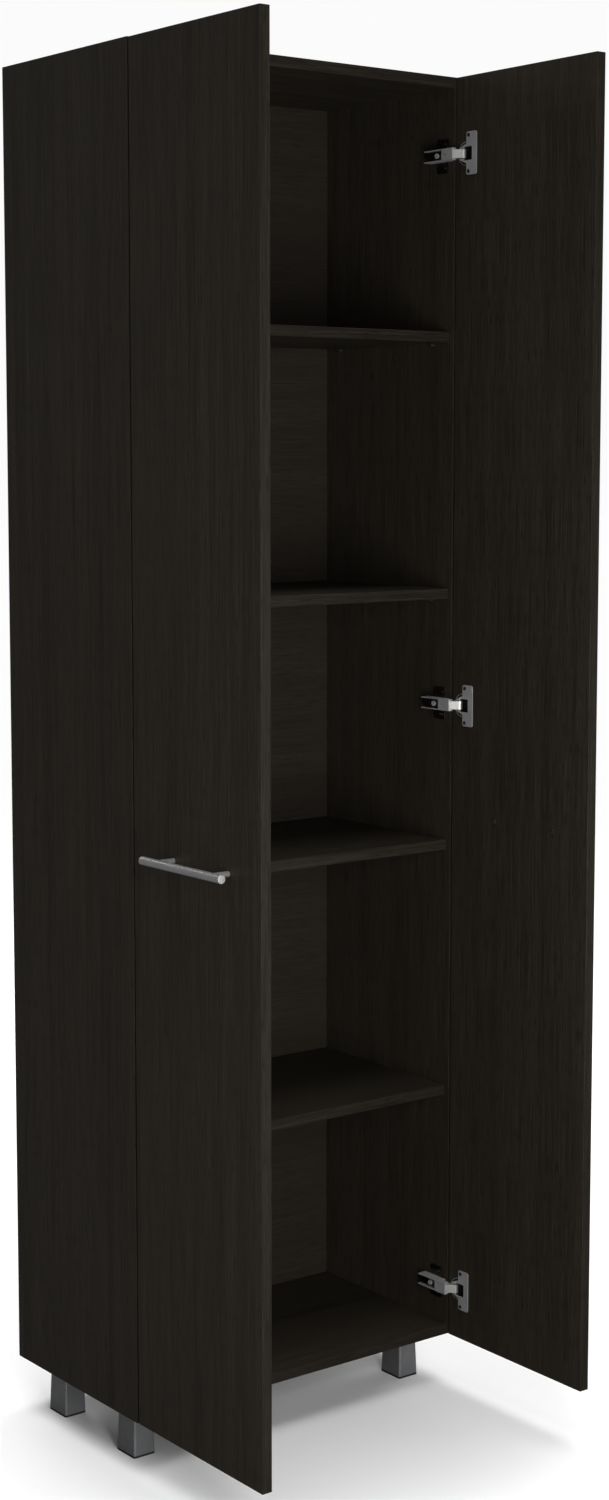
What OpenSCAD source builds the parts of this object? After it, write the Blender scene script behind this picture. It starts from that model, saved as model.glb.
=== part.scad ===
// Tall two-door pantry cabinet on four short legs, doors standing open at 90 degrees.
// Working frame of the modules: X across the cabinet with 0 on its centre line, Y from
// the front edges of the side panels (0) towards the back, Z up from the underside of
// the carcass.  in_place() moves that frame onto the floor and centres it front to back.

/* [Cabinet] */
// Width over both side panels
cabinet_w = 600; // [480:10:760]
// Height of the side panels
carcass_h = 1940; // [1600:10:2400]
// Depth of the side panels
carcass_d = 330; // [270:5:420]
// Thickness of the carcass and shelf boards
board_t = 16; // [14:0.5:20]
// Thickness of the back panel
back_t = 3; // [2:0.5:5]
// Distance from the back panel to the rear edge of the side panels
back_inset = 17; // [12:1:40]
// Depth of the grooves that hold the back panel
groove_depth = 7; // [4:0.5:8]

/* [Shelves] */
// Height of the underside of the lowest shelf
first_shelf_z = 385; // [200:5:400]
// Distance from one shelf to the next
shelf_pitch = 388; // [200:1:388]
// Distance of the shelf front from the front of the side panels
shelf_setback = 8; // [2:1:30]
// Diameter of a shelf pin
shelf_pin_d = 5; // [4:0.5:7]
// Distance of the shelf pins from the front and rear edge of a shelf
shelf_pin_inset = 37; // [20:1:60]

/* [Doors] */
// Thickness of the doors
door_t = 16; // [14:0.5:19]
// Gap between the closed doors at the centre line
door_centre_gap = 4; // [2:0.5:8]
// Gap between the doors and the front of the side panels
door_front_gap = 4; // [4:0.5:6]
// How much shorter a door is than the side panels, at the top and at the bottom
door_end_gap = 1; // [0:0.5:6]

/* [Hinges] */
// Height of the lower hinges
lower_hinge_z = 80; // [60:5:160]
// Height of the middle hinges
middle_hinge_z = 1000; // [880:5:1060]
// Distance of the upper hinges below the top of the side panels
upper_hinge_drop = 114; // [70:2:200]
// Diameter of the hinge cup
cup_d = 35; // [35:0.5:40]
// Depth of the hinge cup in the door
cup_depth = 12.5; // [12:0.1:13]
// Wood left between the hinge cup and the edge of the door
cup_edge = 5; // [4:0.5:6]
// Height of the flange on the hinge cup
flange_h = 63; // [56:1:76]
// Distance between the two screws of the flange
flange_screw_spacing = 53; // [44:1:60]
// Height of the hinge arm
arm_h = 17.5; // [17:0.5:19]
// How far the hinge arm stands off the side panel
arm_standoff = 17.5; // [16:0.5:20]
// Height of the bright link between hinge arm and cup
link_h = 12.5; // [9:0.5:12.5]
// Diameter of the hinge pins
hinge_pin_d = 3; // [2:0.25:3.5]

/* [Handles] */
// Length of the handle bar
bar_l = 188; // [150:2:230]
// Diameter of the handle bar
bar_d = 12; // [9:0.5:16]
// Distance between the two posts of a handle
post_spacing = 128; // [96:1:136]
// Diameter of a handle post
post_d = 8; // [6.5:0.5:10]
// Distance from the door to the axis of the bar
bar_standoff = 32; // [26:1:40]
// Height of the handles
handle_z = 830; // [700:5:1100]
// Distance from the free edge of the door to the middle of the handle
handle_edge = 137; // [116:1:160]

/* [Legs] */
// Height of a leg with its plate and foot pad
leg_total_h = 80; // [60:1:120]
// Width of a leg at the foot, across the cabinet
leg_w = 37; // [34:1:52]
// Depth of a leg at the foot, front to back
leg_d = 47; // [38:1:56]
// How much a leg widens on each side from top to foot
leg_flare = 2.5; // [0:0.5:5]
// Distance from the side of the cabinet to the outer face of a leg
leg_side_inset = 30; // [26:1:60]
// Distance from the front of the side panels to the front face of a front leg
leg_front_inset = 55; // [40:1:80]
// Distance from the rear edge of the side panels to the back face of a back leg
leg_back_inset = 38; // [36:1:70]
// Thickness of a foot pad
pad_t = 3; // [2:0.5:6]

/* [Hidden] */

$fn = 48;
cut = 1;                    // how far a cutting solid runs past the face it cuts
slip = 0.1;                 // radial clearance of a fastener in its hole
pin_slip = 0.05;            // radial running clearance of a hinge pin in a link
seat_gap = 0.2;             // clearance of a panel in a groove, on each face

LEFT = -1;
RIGHT = 1;
side_x = cabinet_w / 2;                 // outer face of the side panels
inner_x = side_x - board_t;             // inner face of the side panels
door_w = side_x - door_centre_gap / 2;
frame_y = (door_front_gap + door_w - carcass_d) / 2;

// Back panel and shelves
back_y = carcass_d - back_inset - back_t;
shelf_y0 = shelf_setback;
shelf_y1 = back_y - 1;
shelf_end_gap = 0.5;
pin_depth = 9;                          // length of a shelf pin inside the side panel
pin_reach = 8;                          // length of a shelf pin under the shelf
shelf_pin_ys = [shelf_y0 + shelf_pin_inset, shelf_y1 - shelf_pin_inset];
function shelf_z(i) = first_shelf_z + (i - 1) * shelf_pitch;

// Joints between the side panels and the top and bottom panels
cam_d = 15;
cam_h = board_t / 2 + 4.5;               // deep enough to take the head of the bolt
cam_from_end = 34;                      // cam centre to the end of the panel
cam_bolt_d = 5;
cam_bolt_head_d = 7;
cam_bolt_head_l = 5;
cam_bolt_in_side = 11;
dowel_d = 8;
dowel_in_side = 10;
dowel_in_panel = 20;
cam_ys = [leg_front_inset + leg_d + 30, carcass_d - leg_back_inset - leg_d - 30];
dowel_ys = [leg_front_inset / 2, carcass_d - leg_back_inset - leg_d / 2];

// Legs
leg_plate = 60;                         // side of the square plate above a leg
leg_plate_t = 3;
leg_plate_hole = 24;                    // screw offset from the plate centre, both ways
leg_corner_r = 3;
leg_x = side_x - leg_side_inset - leg_w / 2;
front_leg_y = leg_front_inset + leg_d / 2;
back_leg_y = carcass_d - leg_back_inset - leg_d / 2;
leg_screw_d = 4;
leg_screw_l = 14;
leg_bolt_d = 8;
leg_bolt_in_panel = 12;
leg_bolt_in_leg = 18;

// Hinges, for the right door; the left ones are mirrored
hinge_zs = [lower_hinge_z, middle_hinge_z, carcass_h - upper_hinge_drop];
door_x = side_x - door_t;               // inner face of the open door
door_pivot = [side_x - door_t / 2, -door_front_gap - door_t / 2];
cup_u = cup_edge + cup_d / 2;           // cup centre from the hinge-side edge of the door
cup_wall = 0.8;
cup_gap = 0.1;
flange_t = 1.3;
flange_u0 = 24;                         // flange plate, from the edge of the door
flange_u1 = 46.5;
flange_screw_u = 29.5;
neck_u0 = 8.6;                          // neck of the flange, towards the edge of the door
neck_half_0 = 8.7;
neck_half_1 = 14.5;
mouth_u0 = 7.5;
mouth_u1 = 36.5;
mouth_wide_u = 18.5;                    // from here on the mouth is wider
mouth_half = 7.2;
mouth_wide_half = 10;
cup_screw_d = 3.5;
cup_screw_l = 12;
cup_screw_head_d = 5.4;
cup_screw_head_h = 1.2;
arm_wall = 1.5;
arm_back_y = 50;
arm_web_back_y = 10;                    // behind this the arm is open towards the cabinet
nose_r = 4.5;
arm_x = inner_x - arm_standoff;         // outer face of the arm
arm_pin = [arm_x + 6, -10];
arm_front_y = arm_pin[1] - nose_r;
plate_t = 2;
plate_half_h = 25;
plate_y0 = 12;
plate_y1 = 38;
plate_corner_r = 4;
ridge_half_h = 6;
ridge_y1 = 47;
plate_screw_y = 20;
plate_screw_half = 17;
plate_screw_d = 4;
plate_screw_l = 13;
plate_screw_head_d = 7.5;
plate_screw_head_h = 2;
arm_screw_y = 24;
arm_screw_d = 4.8;
arm_screw_l = 8;
arm_screw_head_d = 8;
arm_screw_head_h = 2.2;
ridge_x = arm_x + arm_wall + arm_screw_head_h + 0.3;    // face of the plate's ridge inside the arm

// A link swings about the arm pin while the door swings about door_pivot.  Its cup pin is
// placed so that it is the same distance from the arm pin with the door open and closed.
link_r = 9;                             // cup pin to door_pivot
arm_pin_angle = atan2(arm_pin[1] - door_pivot[1], arm_pin[0] - door_pivot[0]);
link_pin = door_pivot + link_r * [cos(arm_pin_angle + 45), sin(arm_pin_angle + 45)];
link_angle = atan2(link_pin[1] - arm_pin[1], link_pin[0] - arm_pin[0]);
link_bulge = 3.6;                       // how far the link's rounded head sits off its pin
link_head_r = 4.3;
link_eye_r = 4;
link_back_r = 3.1;                      // wall round the cup pin
link_wall = 1.6;
link_cheek = 2;

// Handles, on the outer faces of the open doors
handle_y = -door_front_gap - door_w + handle_edge;
post_ys = [handle_y - post_spacing / 2, handle_y + post_spacing / 2];
bar_chamfer = 0.6;
handle_screw_d = 4;
handle_screw_in_post = 14;
handle_screw_head_d = 8;
handle_screw_head_h = 2;

board_colour = "#2b2622";
edge_colour = "#3a342f";
steel_colour = "#8b8c8e";
bright_colour = "#d5d6d8";
leg_colour = "#5f6062";
pad_colour = "#0d0d0d";
beech_colour = "#c9a477";

module in_place() {
    translate([0, frame_y, leg_total_h]) children();
}

// Puts a shape drawn for the right-hand side on either side of the cabinet.
module on_side(side) {
    if (side == RIGHT) children();
    else mirror([1, 0, 0]) children();
}

// Round bar along +X from x, centred on y and z.
module x_rod(x, y, z, d, l) {
    translate([x, y, z]) rotate([0, 90, 0]) cylinder(d = d, h = l);
}

// Screw or bolt whose head sits on z = 0 and whose shank runs down from it.
module pan_screw(d, l, head_d, head_h) {
    difference() {
        union() {
            translate([0, 0, -l]) cylinder(d = d, h = l + head_h / 2);
            cylinder(d = head_d, h = head_h);
        }
        translate([0, 0, head_h]) cross_recess(head_d * 0.55, head_h * 1.1);
    }
}

// Countersunk screw whose flat head is flush with z = 0.
module flush_screw(d, l) {
    difference() {
        union() {
            translate([0, 0, -l]) cylinder(d = d, h = l);
            translate([0, 0, -d / 2]) cylinder(d1 = d, d2 = 2 * d, h = d / 2);
        }
        cross_recess(d, d * 0.6);
    }
}

module flush_hole(d, l) {
    translate([0, 0, -l - slip]) cylinder(d = d + 2 * slip, h = l + slip + cut);
    translate([0, 0, -d / 2 - slip]) cylinder(d1 = d, d2 = 2 * d + 2 * slip, h = d / 2 + slip);
}

module cross_recess(width, depth) {
    slot = width / 5;
    cube([width, slot, depth], center = true);
    cube([slot, width, depth], center = true);
}

module rounded_rect(w, h, r) {
    translate([-w / 2 + r, -h / 2]) square([w - 2 * r, h]);
    translate([-w / 2, -h / 2 + r]) square([w, h - 2 * r]);
    for (x = [-1, 1], y = [-1, 1])
        translate([x * (w / 2 - r), y * (h / 2 - r)]) circle(r = r);
}

// Carcass ---------------------------------------------------------------------------

module side_panel(side) {
    color(board_colour) in_place() on_side(side) difference() {
        translate([inner_x, 0, 0]) cube([board_t, carcass_d, carcass_h]);
        translate([inner_x - cut, back_y - seat_gap, -cut])
            cube([groove_depth + cut, back_t + 2 * seat_gap, carcass_h + 2 * cut]);
        for (i = [1 : 4], y = shelf_pin_ys)
            x_rod(inner_x - cut, y, shelf_z(i) - shelf_pin_d / 2, shelf_pin_d + 2 * slip,
                pin_depth + slip + cut);
        for (z = [board_t / 2, carcass_h - board_t / 2]) {
            for (y = cam_ys)
                x_rod(inner_x - cut, y, z, cam_bolt_d + 2 * slip, cam_bolt_in_side + slip + cut);
            for (y = dowel_ys)
                x_rod(inner_x - cut, y, z, dowel_d + 2 * slip, dowel_in_side + slip + cut);
        }
        for (z = hinge_zs, dz = [-plate_screw_half, plate_screw_half])
            x_rod(inner_x - cut, plate_screw_y, z + dz, plate_screw_d + 2 * slip,
                plate_screw_l - plate_t + slip + cut);
    }
}

// Board between the side panels; face is 1 when its cams open upwards, -1 downwards.
module cross_panel(z, face) {
    mid_z = z + board_t / 2;
    cam_z = face == 1 ? z + board_t - cam_h : z - cut;
    difference() {
        translate([-inner_x, 0, z]) cube([2 * inner_x, carcass_d, board_t]);
        translate([-inner_x - cut, back_y - seat_gap, face == 1 ? z - cut : z + board_t - groove_depth])
            cube([2 * (inner_x + cut), back_t + 2 * seat_gap, groove_depth + cut]);
        for (side = [LEFT, RIGHT]) on_side(side) {
            for (y = cam_ys) {
                translate([inner_x - cam_from_end, y, cam_z])
                    cylinder(d = cam_d + 2 * slip, h = cam_h + cut);
                x_rod(inner_x - cam_from_end, y, mid_z, cam_bolt_head_d + 2 * slip, cam_from_end + cut);
            }
            for (y = dowel_ys)
                x_rod(inner_x - dowel_in_panel - slip, y, mid_z, dowel_d + 2 * slip,
                    dowel_in_panel + slip + cut);
        }
    }
}

module top_panel() {
    color(board_colour) in_place() cross_panel(carcass_h - board_t, 1);
}

module bottom_panel() {
    color(board_colour) in_place() difference() {
        cross_panel(0, -1);
        at_legs() {
            for (x = [-1, 1], y = [-1, 1])
                translate([x * leg_plate_hole, y * leg_plate_hole, 0]) mirror([0, 0, 1])
                    translate([0, 0, -leg_screw_l - slip])
                        cylinder(d = leg_screw_d + 2 * slip, h = leg_screw_l + slip + cut);
            translate([0, 0, -cut])
                cylinder(d = leg_bolt_d + 2 * slip, h = leg_bolt_in_panel + slip + cut);
        }
    }
}

module back_panel() {
    half_w = inner_x + groove_depth;
    color(edge_colour) in_place()
        translate([-half_w, back_y, board_t - groove_depth])
            cube([2 * half_w, back_t, carcass_h - 2 * board_t + 2 * groove_depth]);
}

module shelf(i) {
    half_w = inner_x - shelf_end_gap;
    color(board_colour) in_place()
        translate([-half_w, shelf_y0, shelf_z(i)]) cube([2 * half_w, shelf_y1 - shelf_y0, board_t]);
}

module shelf_pins() {
    color(steel_colour) in_place()
        for (side = [LEFT, RIGHT], i = [1 : 4], y = shelf_pin_ys)
            on_side(side) x_rod(inner_x - pin_reach, y, shelf_z(i) - shelf_pin_d / 2, shelf_pin_d,
                pin_reach + pin_depth);
}

// Places its children at each joint end of the top panel (face 1) and bottom panel (face -1).
module at_panel_ends(ys) {
    for (side = [LEFT, RIGHT], y = ys) on_side(side) {
        translate([inner_x, y, board_t / 2]) mirror([0, 0, 1]) children();
        translate([inner_x, y, carcass_h - board_t / 2]) children();
    }
}

module cam_locks() {
    color(steel_colour) in_place() at_panel_ends(cam_ys) difference() {
        translate([-cam_from_end, 0, board_t / 2 - cam_h]) cylinder(d = cam_d, h = cam_h);
        x_rod(-cam_from_end - cam_bolt_head_l / 2, 0, 0, cam_bolt_head_d + 2 * slip, cam_d);
        translate([-cam_from_end, 0, board_t / 2]) cross_recess(cam_d * 0.6, 5);
    }
}

module cam_bolts() {
    neck_l = cam_from_end - cam_bolt_head_l / 2;
    color(steel_colour) in_place() at_panel_ends(cam_ys) {
        x_rod(-neck_l, 0, 0, cam_bolt_d, neck_l + cam_bolt_in_side);
        x_rod(-cam_from_end - cam_bolt_head_l / 2 + slip, 0, 0, cam_bolt_head_d, cam_bolt_head_l);
    }
}

module dowels() {
    color(beech_colour) in_place() at_panel_ends(dowel_ys)
        x_rod(-dowel_in_panel, 0, 0, dowel_d, dowel_in_panel + dowel_in_side);
}

// Legs ------------------------------------------------------------------------------

// Puts its children at the middle of one leg, at the underside of the carcass.
module at_leg(side, y) {
    translate([side * leg_x, y, 0]) children();
}

module at_legs() {
    for (side = [LEFT, RIGHT], y = [front_leg_y, back_leg_y]) at_leg(side, y) children();
}

module leg(side, y) {
    leg_h = leg_total_h - leg_plate_t - pad_t;
    slab = 0.5;
    color(leg_colour) in_place() at_leg(side, y) difference() {
        translate([0, 0, -leg_plate_t - leg_h]) hull() {
            linear_extrude(slab) rounded_rect(leg_w, leg_d, leg_corner_r, $fn = 32);
            translate([0, 0, leg_h - slab]) linear_extrude(slab)
                rounded_rect(leg_w - 2 * leg_flare, leg_d - 2 * leg_flare, leg_corner_r, $fn = 32);
        }
        translate([0, 0, -leg_plate_t - leg_bolt_in_leg - slip])
            cylinder(d = leg_bolt_d + 2 * slip, h = leg_bolt_in_leg + slip + cut);
    }
}

module leg_plates() {
    color(steel_colour) in_place() at_legs() difference() {
        translate([0, 0, -leg_plate_t]) linear_extrude(leg_plate_t)
            rounded_rect(leg_plate, leg_plate, 5);
        translate([0, 0, -leg_plate_t - cut])
            cylinder(d = leg_bolt_d + 2 * slip, h = leg_plate_t + 2 * cut);
        for (x = [-1, 1], y = [-1, 1])
            translate([x * leg_plate_hole, y * leg_plate_hole, -leg_plate_t])
                mirror([0, 0, 1]) flush_hole(leg_screw_d, leg_screw_l);
    }
}

module leg_plate_screws() {
    color(steel_colour) in_place() at_legs()
        for (x = [-1, 1], y = [-1, 1])
            translate([x * leg_plate_hole, y * leg_plate_hole, -leg_plate_t])
                mirror([0, 0, 1]) flush_screw(leg_screw_d, leg_screw_l);
}

module leg_bolts() {
    color(steel_colour) in_place() at_legs()
        translate([0, 0, -leg_plate_t - leg_bolt_in_leg])
            cylinder(d = leg_bolt_d, h = leg_bolt_in_leg + leg_plate_t + leg_bolt_in_panel);
}

module foot_pad(side, y) {
    color(pad_colour) in_place() at_leg(side, y) translate([0, 0, -leg_total_h])
        linear_extrude(pad_t) rounded_rect(leg_w, leg_d, leg_corner_r);
}

// Hinges ----------------------------------------------------------------------------

// Puts a hinge piece, drawn for the right side at z = 0, at one of the three hinges.
module at_hinge(side, index) {
    in_place() on_side(side) translate([0, 0, hinge_zs[index]]) children();
}

// The same, for a group of small pieces at all three hinges of a side.
module at_hinges(side) {
    for (index = [0 : 2]) at_hinge(side, index) children();
}

// Turns +Z to point from the side panel into the cabinet.
module facing_in(x, y, z) {
    translate([x, y, z]) rotate([0, -90, 0]) children();
}

module hinge_arm(side, index) {
    half_h = arm_h / 2;
    color(steel_colour) at_hinge(side, index) difference() {
        union() {
            for (z = [-half_h, half_h - arm_wall]) translate([0, 0, z]) {
                translate([arm_x, arm_pin[1], 0])
                    cube([inner_x - plate_t - arm_x, arm_back_y - arm_pin[1], arm_wall]);
                translate([arm_x, arm_front_y, 0])
                    cube([arm_pin[0] - arm_x, arm_pin[1] - arm_front_y + cut, arm_wall]);
                translate(arm_pin) cylinder(r = nose_r, h = arm_wall);
            }
            translate([arm_x, arm_front_y, -half_h])
                cube([arm_wall, arm_web_back_y - arm_front_y, arm_h]);
        }
        translate([arm_pin[0], arm_pin[1], -half_h - cut])
            cylinder(d = hinge_pin_d, h = arm_h + 2 * cut);
        // the flanges keep clear of the door's edge in front of the side panel
        translate([arm_pin[0] + nose_r, arm_front_y, -half_h - cut])
            cube([board_t, nose_r - arm_pin[1] + 1, arm_h + 2 * cut]);
        facing_in(arm_x + arm_wall, arm_web_back_y - 6, 0)
            cylinder(d = 3.2, h = 3 * arm_wall, center = true);
    }
}

module hinge_mounting_plates(side) {
    color(steel_colour) at_hinges(side) difference() {
        union() {
            facing_in(inner_x, (plate_y0 + plate_y1) / 2, 0) linear_extrude(plate_t)
                rounded_rect(2 * plate_half_h, plate_y1 - plate_y0, plate_corner_r);
            translate([ridge_x, plate_y0, -ridge_half_h])
                cube([inner_x - plate_t / 2 - ridge_x, ridge_y1 - plate_y0, 2 * ridge_half_h]);
        }
        for (z = [-plate_screw_half, plate_screw_half])
            x_rod(inner_x - plate_t - cut, plate_screw_y, z, plate_screw_d + 2 * slip, plate_t + 2 * cut);
        x_rod(ridge_x - cut, arm_screw_y, 0, arm_screw_d + 2 * slip, arm_screw_l + slip + cut);
    }
}

module mounting_plate_screws() {
    color(steel_colour)
        for (side = [LEFT, RIGHT]) at_hinges(side)
            for (z = [-plate_screw_half, plate_screw_half])
                facing_in(inner_x - plate_t, plate_screw_y, z)
                    pan_screw(plate_screw_d, plate_screw_l, plate_screw_head_d, plate_screw_head_h);
}

module hinge_arm_screws() {
    color(steel_colour)
        for (side = [LEFT, RIGHT]) at_hinges(side)
            facing_in(ridge_x, arm_screw_y, 0)
                pan_screw(arm_screw_d, arm_screw_l, arm_screw_head_d, arm_screw_head_h);
}

module hinge_arm_pins() {
    color(bright_colour)
        for (side = [LEFT, RIGHT]) at_hinges(side)
            translate([arm_pin[0], arm_pin[1], -arm_h / 2]) cylinder(d = hinge_pin_d, h = arm_h);
}

// Outline of a link seen from above: an eye round the arm pin and a rounded head that
// stands off the cup pin on the side facing away from the side panel.
module link_outline(grow) {
    head = link_pin + link_bulge * [cos(link_angle - 90), sin(link_angle - 90)];
    hull() {
        translate(arm_pin) circle(r = link_eye_r + grow, $fn = 32);
        translate(link_pin) circle(r = link_back_r + grow, $fn = 32);
        translate(head) circle(r = link_head_r + grow, $fn = 32);
    }
}

module hinge_link(side, index) {
    inner_h = link_h - 2 * link_cheek;
    toward_panel = [cos(link_angle + 90), sin(link_angle + 90)];
    color(bright_colour) at_hinge(side, index) difference() {
        translate([0, 0, -link_h / 2]) linear_extrude(link_h) link_outline(0);
        translate([0, 0, -inner_h / 2]) linear_extrude(inner_h)
            translate(2 * link_wall * toward_panel) link_outline(link_wall);
        for (p = [arm_pin, link_pin])
            translate([p[0], p[1], -link_h]) cylinder(d = hinge_pin_d + 2 * pin_slip, h = 2 * link_h);
    }
}

module hinge_link_pins(side) {
    color(bright_colour) at_hinges(side)
        translate([link_pin[0], link_pin[1], -link_h / 2]) cylinder(d = hinge_pin_d, h = link_h);
}

// Cup and flange, drawn with u along the door from its hinge-side edge as +X, height as
// +Y and the open mouth towards +Z, then laid into the inner face of the open door.
module on_door_face() {
    translate([door_x, -door_front_gap, 0]) rotate([0, -90, 0]) rotate([0, 0, -90])
        children();
}

module flange_outline() {
    r = 3;
    difference() {
        union() {
            translate([(flange_u0 + flange_u1) / 2, 0]) rounded_rect(flange_u1 - flange_u0, flange_h, r);
            polygon([[neck_u0, -neck_half_0], [flange_u0 + 0.1, -neck_half_1],
                [flange_u0 + 0.1, neck_half_1], [neck_u0, neck_half_0]]);
        }
        translate([mouth_u0, -mouth_half]) square([mouth_wide_u - mouth_u0, 2 * mouth_half]);
        translate([mouth_wide_u - 0.1, -mouth_wide_half])
            square([mouth_u1 - mouth_wide_u + 0.1, 2 * mouth_wide_half]);
        for (y = [-1, 1])
            translate([flange_screw_u, y * flange_screw_spacing / 2]) circle(d = cup_screw_d + 2 * slip);
    }
}

module hinge_cup(side, index) {
    color(steel_colour) at_hinge(side, index) on_door_face() {
        linear_extrude(flange_t) flange_outline();
        difference() {
            translate([cup_u, 0, -cup_depth]) cylinder(d = cup_d - 2 * cup_gap, h = cup_depth + 0.3);
            translate([cup_u, 0, -cup_depth + cup_wall])
                cylinder(d = cup_d - 2 * cup_gap - 2 * cup_wall, h = cup_depth);
        }
    }
}

module hinge_cup_screws(side) {
    color(steel_colour) at_hinges(side) on_door_face()
        for (y = [-1, 1])
            translate([flange_screw_u, y * flange_screw_spacing / 2, flange_t])
                pan_screw(cup_screw_d, cup_screw_l, cup_screw_head_d, cup_screw_head_h);
}

// Doors and handles -----------------------------------------------------------------

module door(side) {
    door_h = carcass_h - 2 * door_end_gap;
    color(board_colour) difference() {
        in_place() on_side(side)
            translate([door_x, -door_front_gap - door_w, door_end_gap]) cube([door_t, door_w, door_h]);
        at_hinges(side) on_door_face() {
            translate([cup_u, 0, -cup_depth]) cylinder(d = cup_d, h = cup_depth + cut);
            for (y = [-1, 1])
                translate([flange_screw_u, y * flange_screw_spacing / 2, -cup_screw_l])
                    cylinder(d = cup_screw_d + 2 * slip, h = cup_screw_l + cut);
        }
        in_place() on_side(side) for (y = post_ys)
            x_rod(door_x - cut, y, handle_z, handle_screw_d + 2 * slip, door_t + 2 * cut);
    }
}

module handle_bar(side) {
    color(steel_colour) in_place() on_side(side)
        translate([side_x + bar_standoff, handle_y - bar_l / 2, handle_z]) rotate([-90, 0, 0])
            rotate_extrude() polygon([[0, 0], [bar_d / 2 - bar_chamfer, 0], [bar_d / 2, bar_chamfer],
                [bar_d / 2, bar_l - bar_chamfer], [bar_d / 2 - bar_chamfer, bar_l], [0, bar_l]]);
}

module handle_posts(side) {
    color(steel_colour) in_place() on_side(side) for (y = post_ys) difference() {
        x_rod(side_x, y, handle_z, post_d, bar_standoff);
        translate([side_x + bar_standoff, y - post_d, handle_z]) rotate([-90, 0, 0])
            cylinder(d = bar_d, h = 2 * post_d);
        x_rod(side_x - cut, y, handle_z, handle_screw_d + 2 * slip, handle_screw_in_post + slip + cut);
    }
}

module handle_screws(side) {
    color(board_colour) in_place() on_side(side) for (y = post_ys)
        facing_in(door_x, y, handle_z)
            pan_screw(handle_screw_d, door_t + handle_screw_in_post, handle_screw_head_d,
                handle_screw_head_h);
}

side_panel(LEFT);  // left_side_panel
side_panel(RIGHT);  // right_side_panel
top_panel();
bottom_panel();
back_panel();
shelf(1);  // shelf_1
shelf(2);  // shelf_2
shelf(3);  // shelf_3
shelf(4);  // shelf_4
shelf_pins();
cam_locks();
cam_bolts();
dowels();
leg(LEFT, front_leg_y);  // front_left_leg
leg(RIGHT, front_leg_y);  // front_right_leg
leg(LEFT, back_leg_y);  // back_left_leg
leg(RIGHT, back_leg_y);  // back_right_leg
leg_plates();
leg_plate_screws();
leg_bolts();
foot_pad(LEFT, front_leg_y);  // front_left_foot_pad
foot_pad(RIGHT, front_leg_y);  // front_right_foot_pad
foot_pad(LEFT, back_leg_y);  // back_left_foot_pad
foot_pad(RIGHT, back_leg_y);  // back_right_foot_pad
hinge_arm(LEFT, 0);  // left_lower_hinge_arm
hinge_arm(LEFT, 1);  // left_middle_hinge_arm
hinge_arm(LEFT, 2);  // left_upper_hinge_arm
hinge_arm(RIGHT, 0);  // right_lower_hinge_arm
hinge_arm(RIGHT, 1);  // right_middle_hinge_arm
hinge_arm(RIGHT, 2);  // right_upper_hinge_arm
hinge_mounting_plates(LEFT);  // left_hinge_mounting_plates
hinge_mounting_plates(RIGHT);  // right_hinge_mounting_plates
mounting_plate_screws();
hinge_arm_screws();
hinge_arm_pins();
hinge_link(LEFT, 0);  // left_lower_hinge_link
hinge_link(LEFT, 1);  // left_middle_hinge_link
hinge_link(LEFT, 2);  // left_upper_hinge_link
hinge_link(RIGHT, 0);  // right_lower_hinge_link
hinge_link(RIGHT, 1);  // right_middle_hinge_link
hinge_link(RIGHT, 2);  // right_upper_hinge_link
hinge_link_pins(LEFT);  // left_hinge_link_pins
hinge_link_pins(RIGHT);  // right_hinge_link_pins
hinge_cup(LEFT, 0);  // left_lower_hinge_cup
hinge_cup(LEFT, 1);  // left_middle_hinge_cup
hinge_cup(LEFT, 2);  // left_upper_hinge_cup
hinge_cup(RIGHT, 0);  // right_lower_hinge_cup
hinge_cup(RIGHT, 1);  // right_middle_hinge_cup
hinge_cup(RIGHT, 2);  // right_upper_hinge_cup
hinge_cup_screws(LEFT);  // left_hinge_cup_screws
hinge_cup_screws(RIGHT);  // right_hinge_cup_screws
door(LEFT);  // left_door
door(RIGHT);  // right_door
handle_bar(LEFT);  // left_handle_bar
handle_bar(RIGHT);  // right_handle_bar
handle_posts(LEFT);  // left_handle_posts
handle_posts(RIGHT);  // right_handle_posts
handle_screws(LEFT);  // left_handle_screws
handle_screws(RIGHT);  // right_handle_screws
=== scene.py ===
"""A tall pantry cabinet on four short legs, its two doors standing open.

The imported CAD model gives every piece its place.  This script gives the pieces their looks:
boards with softened edges and wood-print grain, pressed and plated hinge parts with rolled
edges, bar handles, lacquered legs and rubber foot pads, on a pale floor in soft light.
"""

import logging
import math
from collections.abc import Iterable
from dataclasses import dataclass
from enum import Enum
from functools import cache

import bmesh
import bpy
from mathutils import Matrix, Vector


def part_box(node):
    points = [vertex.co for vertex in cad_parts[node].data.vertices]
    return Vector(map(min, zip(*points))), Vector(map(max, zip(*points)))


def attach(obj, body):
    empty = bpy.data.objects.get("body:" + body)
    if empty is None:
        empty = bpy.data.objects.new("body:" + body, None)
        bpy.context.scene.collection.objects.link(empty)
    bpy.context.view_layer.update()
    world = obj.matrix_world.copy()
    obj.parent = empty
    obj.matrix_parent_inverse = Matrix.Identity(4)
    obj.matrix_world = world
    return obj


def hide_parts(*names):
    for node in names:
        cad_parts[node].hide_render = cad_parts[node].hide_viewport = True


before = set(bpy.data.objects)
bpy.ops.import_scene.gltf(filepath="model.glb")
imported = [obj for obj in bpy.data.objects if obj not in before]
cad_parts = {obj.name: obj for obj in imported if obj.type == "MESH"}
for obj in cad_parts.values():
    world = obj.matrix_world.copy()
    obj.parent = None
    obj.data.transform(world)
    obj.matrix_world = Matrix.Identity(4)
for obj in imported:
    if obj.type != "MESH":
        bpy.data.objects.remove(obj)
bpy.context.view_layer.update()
MM = 0.001
SCREW_ROLL = 0.15 * MM                  # rolled edge of screw heads and other small parts
PIN_ROLL = 0.4 * MM
FLAT_ENOUGH = math.radians(0.6)         # faces that meet at less than this are one flat face
log = logging.getLogger("pantry_cabinet")


# Small tools -----------------------------------------------------------------------------


class Axis(Enum):
    """One of the three directions of the cabinet's frame."""

    X = 0
    Y = 1
    Z = 2


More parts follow.
